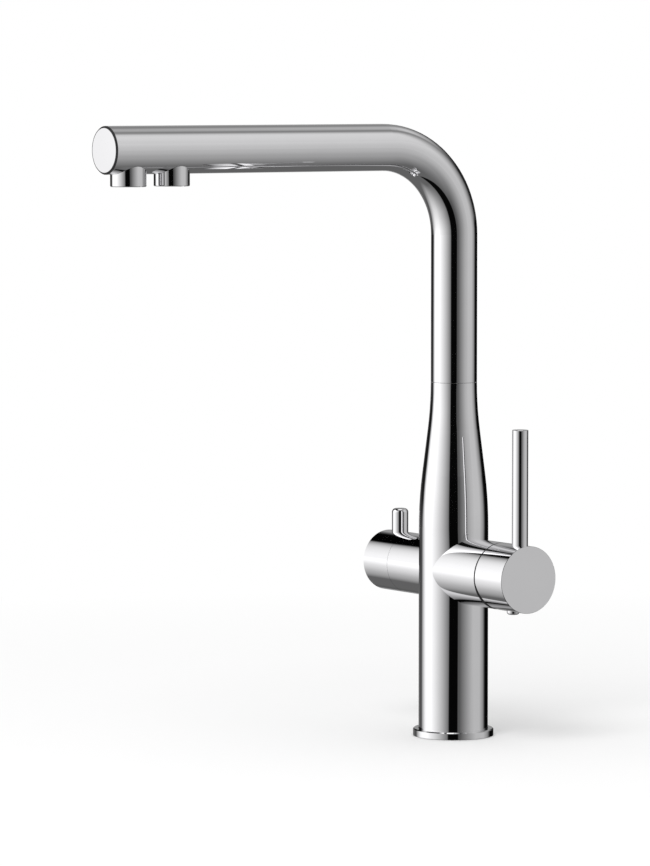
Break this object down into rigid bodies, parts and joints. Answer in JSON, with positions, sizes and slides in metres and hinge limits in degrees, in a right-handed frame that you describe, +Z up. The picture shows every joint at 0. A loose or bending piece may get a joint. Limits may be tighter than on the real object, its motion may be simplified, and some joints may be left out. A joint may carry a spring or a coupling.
{
  "type": "kitchen mixer tap",
  "caption": "Tall chrome kitchen mixer tap with a swivelling L-shaped spout, a side pin lever for mixed water and a side knob with its own outlet for filtered water.",
  "frame": {"origin": "on the tap's vertical axis, at the mouth of the fixing stud's hole in the deck plane", "axes": "+Z up along the body, -Y along the spout, +X out of the mixer handle, -X out of the filter knob"},
  "size_m": [0.146, 0.2722, 0.3714],
  "materials": {
    "polished_chrome": "polished",
    "machined_brass": "machined",
    "copper_pipe": "drawn copper",
    "stainless_steel": "machined",
    "black_rubber": "matt",
    "white_ceramic": "lapped",
    "cartridge_plastic": "moulded",
    "glide_plastic": "moulded",
    "aerator_plastic": "moulded"
  },
  "bodies": {
    "tap_body": {"base_flange": "polished_chrome", "base_gasket": "black_rubber", "body_casting": "polished_chrome", "cartridge_base": "cartridge_plastic", "cartridge_housing": "cartridge_plastic", "cartridge_nut": "machined_brass", "cartridge_port_seals": "black_rubber", "cold_feed_pipe": "copper_pipe", "filter_feed_pipe": "copper_pipe", "filter_fixed_disc": "white_ceramic", "filter_riser": "machined_brass", "filter_seat_seal": "black_rubber", "filter_valve_housing": "machined_brass", "fixed_ceramic_disc": "white_ceramic", "glide_ring": "glide_plastic", "hot_feed_pipe": "copper_pipe", "inlet_block": "machined_brass", "swivel_o_rings": "black_rubber", "swivel_spigot": "machined_brass"},
    "spout": {"spout_tube": "polished_chrome", "swivel_sleeve": "machined_brass", "spout_retaining_screw": "stainless_steel", "spout_end_cap": "polished_chrome", "end_cap_o_ring": "black_rubber", "main_outlet_collar": "polished_chrome", "main_aerator_shell": "aerator_plastic", "main_aerator_screen": "aerator_plastic", "main_aerator_gasket": "black_rubber", "filter_outlet_collar": "polished_chrome", "filter_aerator_shell": "aerator_plastic", "filter_aerator_screen": "aerator_plastic", "filter_aerator_gasket": "black_rubber", "filter_swivel_fitting": "machined_brass", "filter_fitting_o_ring": "black_rubber", "spout_filter_tube": "cartridge_plastic", "filter_outlet_elbow": "cartridge_plastic"},
    "mixer_carrier": {"cartridge_carrier": "cartridge_plastic", "carrier_pivot_pin": "stainless_steel"},
    "mixer_handle": {"cartridge_stem": "stainless_steel", "mixer_handle_shell": "polished_chrome", "lever_rod": "polished_chrome", "handle_set_screw": "stainless_steel", "set_screw_plug": "polished_chrome"},
    "mixing_disc": {"moving_ceramic_disc": "white_ceramic", "disc_slider": "cartridge_plastic"},
    "filter_handle": {"filter_turning_disc": "white_ceramic", "filter_spindle": "machined_brass", "filter_spindle_o_ring": "black_rubber", "filter_spindle_clip": "stainless_steel", "filter_knob": "polished_chrome", "filter_pin": "polished_chrome", "filter_set_screw": "stainless_steel"}
  },
  "joints": [
    {"name": "spout_swivel", "type": "hinge", "parent": "tap_body", "child": "spout", "pos_m": [0, 0, 0.2335], "axis": [0, 0, 1], "continuous": true},
    {"name": "mixer_turn", "type": "hinge", "parent": "tap_body", "child": "mixer_carrier", "pos_m": [0.029, 0, 0.1013], "axis": [1, 0, 0], "range_deg": [-50, 50]},
    {"name": "mixer_tilt", "type": "hinge", "parent": "mixer_carrier", "child": "mixer_handle", "pos_m": [0.029, 0, 0.1013], "axis": [0, 1, 0], "range_deg": [0, 20]},
    {"name": "disc_slide", "type": "slide", "parent": "mixer_carrier", "child": "mixing_disc", "axis": [0, 0, 1], "range_m": [0, 0.0019]},
    {"name": "filter_turn", "type": "hinge", "parent": "tap_body", "child": "filter_handle", "pos_m": [-0.0564, 0, 0.1013], "axis": [1, 0, 0], "range_deg": [0, 90]}
  ],
  "couplings": [
    {"joint": "disc_slide", "follows": "mixer_tilt", "m_per_rad": 0.0054}
  ]
}
